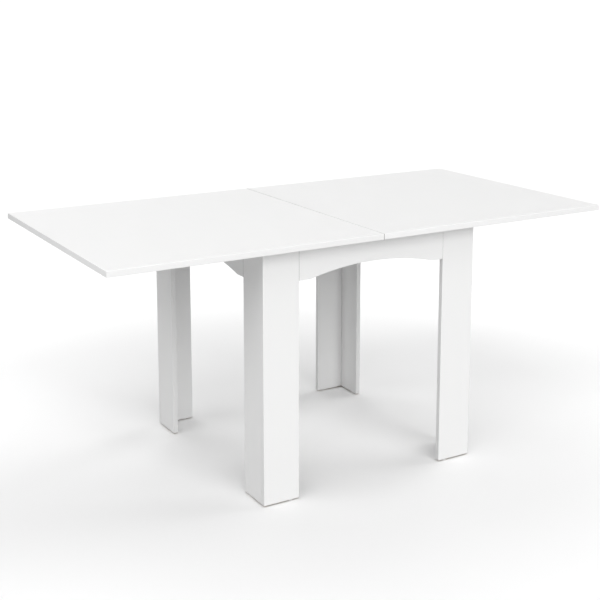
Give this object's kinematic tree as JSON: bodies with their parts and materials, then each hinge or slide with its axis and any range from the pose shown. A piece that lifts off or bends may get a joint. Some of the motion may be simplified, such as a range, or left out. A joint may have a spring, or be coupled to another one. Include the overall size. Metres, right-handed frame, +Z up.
{
  "type": "extendable dining table",
  "caption": "White laminate dining table whose top turns a quarter and unfolds from a square to a long rectangle, on L-shaped board legs with arched aprons.",
  "frame": {"origin": "on the floor under the middle of the open top", "axes": "+X along the open top's length, -Y is the front, +Z up"},
  "size_m": [1.6, 0.8, 0.73],
  "materials": {
    "white_laminate": "satin white melamine on particle board, with matching edge bands",
    "birch_plywood": "sanded, unlacquered",
    "zinc_plated_steel": "bright zinc plate",
    "die_cast_zinc": "as cast, lightly tumbled",
    "white_nylon": "moulded, satin"
  },
  "bodies": {
    "base": {"apron_front": "white_laminate", "apron_left": "white_laminate", "apron_rear": "white_laminate", "apron_right": "white_laminate", "corner_plate_front_left": "birch_plywood", "corner_plate_front_right": "birch_plywood", "corner_plate_rear_left": "birch_plywood", "corner_plate_rear_right": "birch_plywood", "glide_button_front_left": "white_nylon", "glide_button_front_right": "white_nylon", "glide_button_rear_left": "white_nylon", "glide_button_rear_right": "white_nylon", "glide_front_left_face": "white_nylon", "glide_front_left_side": "white_nylon", "glide_front_right_face": "white_nylon", "glide_front_right_side": "white_nylon", "glide_rear_left_face": "white_nylon", "glide_rear_left_side": "white_nylon", "glide_rear_right_face": "white_nylon", "glide_rear_right_side": "white_nylon", "leg_front_left_face": "white_laminate", "leg_front_left_side": "white_laminate", "leg_front_right_face": "white_laminate", "leg_front_right_side": "white_laminate", "leg_rear_left_face": "white_laminate", "leg_rear_left_side": "white_laminate", "leg_rear_right_face": "white_laminate", "leg_rear_right_side": "white_laminate", "lock_washer": "zinc_plated_steel", "pivot_board": "birch_plywood", "pivot_rail_left": "white_laminate", "pivot_rail_right": "white_laminate", "slip_washer": "white_nylon", "stretcher_rail": "white_laminate"},
    "main_leaf": {"main_leaf": "white_laminate", "swivel_plate": "zinc_plated_steel", "swivel_bolt": "zinc_plated_steel", "swivel_nut": "zinc_plated_steel", "stop_pin": "zinc_plated_steel", "plate_screw_1": "zinc_plated_steel", "plate_screw_2": "zinc_plated_steel", "plate_screw_3": "zinc_plated_steel", "plate_screw_4": "zinc_plated_steel", "hinge_1_barrel_main": "die_cast_zinc", "hinge_2_barrel_main": "die_cast_zinc", "hinge_3_barrel_main": "die_cast_zinc"},
    "flip_leaf": {"flip_leaf": "white_laminate", "hinge_1_barrel_flip": "die_cast_zinc", "hinge_2_barrel_flip": "die_cast_zinc", "hinge_3_barrel_flip": "die_cast_zinc"},
    "link_pack_1": {"hinge_1_link_1": "zinc_plated_steel", "hinge_2_link_1": "zinc_plated_steel", "hinge_3_link_1": "zinc_plated_steel"},
    "link_pack_2": {"hinge_1_link_2": "zinc_plated_steel", "hinge_2_link_2": "zinc_plated_steel", "hinge_3_link_2": "zinc_plated_steel"},
    "link_pack_3": {"hinge_1_link_3": "zinc_plated_steel", "hinge_2_link_3": "zinc_plated_steel", "hinge_3_link_3": "zinc_plated_steel"}
  },
  "joints": [
    {"name": "top_swivel", "type": "hinge", "parent": "base", "child": "main_leaf", "pos_m": [0.2, -0.2, 0.714], "axis": [0, 0, 1], "range_deg": [0, 90]},
    {"name": "leaf_fold", "type": "hinge", "parent": "main_leaf", "child": "flip_leaf", "pos_m": [0, 0, 0.7305], "axis": [0, 1, 0], "range_deg": [0, 180]},
    {"name": "link_turn_1", "type": "hinge", "parent": "main_leaf", "child": "link_pack_1", "pos_m": [0, 0, 0.7305], "axis": [0, 1, 0], "range_deg": [0, 45]},
    {"name": "link_turn_2", "type": "hinge", "parent": "main_leaf", "child": "link_pack_2", "pos_m": [0, 0, 0.7305], "axis": [0, 1, 0], "range_deg": [0, 90]},
    {"name": "link_turn_3", "type": "hinge", "parent": "main_leaf", "child": "link_pack_3", "pos_m": [0, 0, 0.7305], "axis": [0, 1, 0], "range_deg": [0, 135]}
  ],
  "couplings": [
    {"joint": "link_turn_1", "follows": "leaf_fold", "ratio": 0.25},
    {"joint": "link_turn_2", "follows": "leaf_fold", "ratio": 0.5},
    {"joint": "link_turn_3", "follows": "leaf_fold", "ratio": 0.75}
  ]
}
